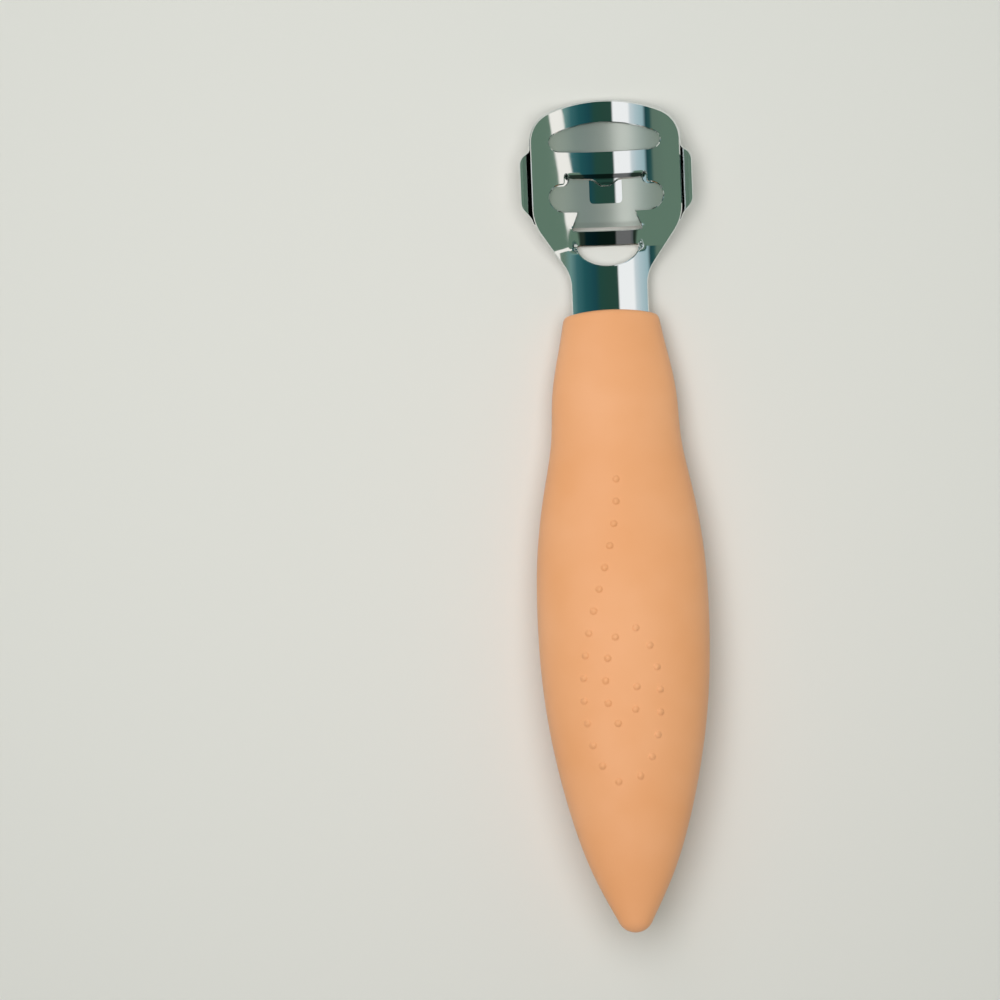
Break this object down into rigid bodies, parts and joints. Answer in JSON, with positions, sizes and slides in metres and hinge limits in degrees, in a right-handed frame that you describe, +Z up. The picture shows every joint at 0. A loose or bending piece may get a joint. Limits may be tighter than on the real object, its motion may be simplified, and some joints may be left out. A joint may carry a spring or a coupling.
{
  "type": "callus shaver",
  "caption": "Hand tool for paring hard skin: an arched metal head with a sprung blade, on a soft-touch lens-shaped grip.",
  "frame": {"origin": "on the table under the middle of the tool's bounding box, as it lies at rest", "axes": "+Z up, +Y along the tool towards the head's top edge, +X across it; the skin side faces down"},
  "size_m": [0.0356, 0.1714, 0.0227],
  "materials": {
    "frame_chrome": "bright nickel-chrome plate on pressed steel",
    "guard_chrome": "bright nickel-chrome plate on pressed steel",
    "blade_steel": "satin ground stainless strip",
    "grip_plastic": "apricot soft-touch plastic, low satin sheen"
  },
  "bodies": {
    "root": {"head_frame": "frame_chrome", "guard_plate": "guard_chrome", "blade": "blade_steel", "grip": "grip_plastic"}
  },
  "joints": []
}
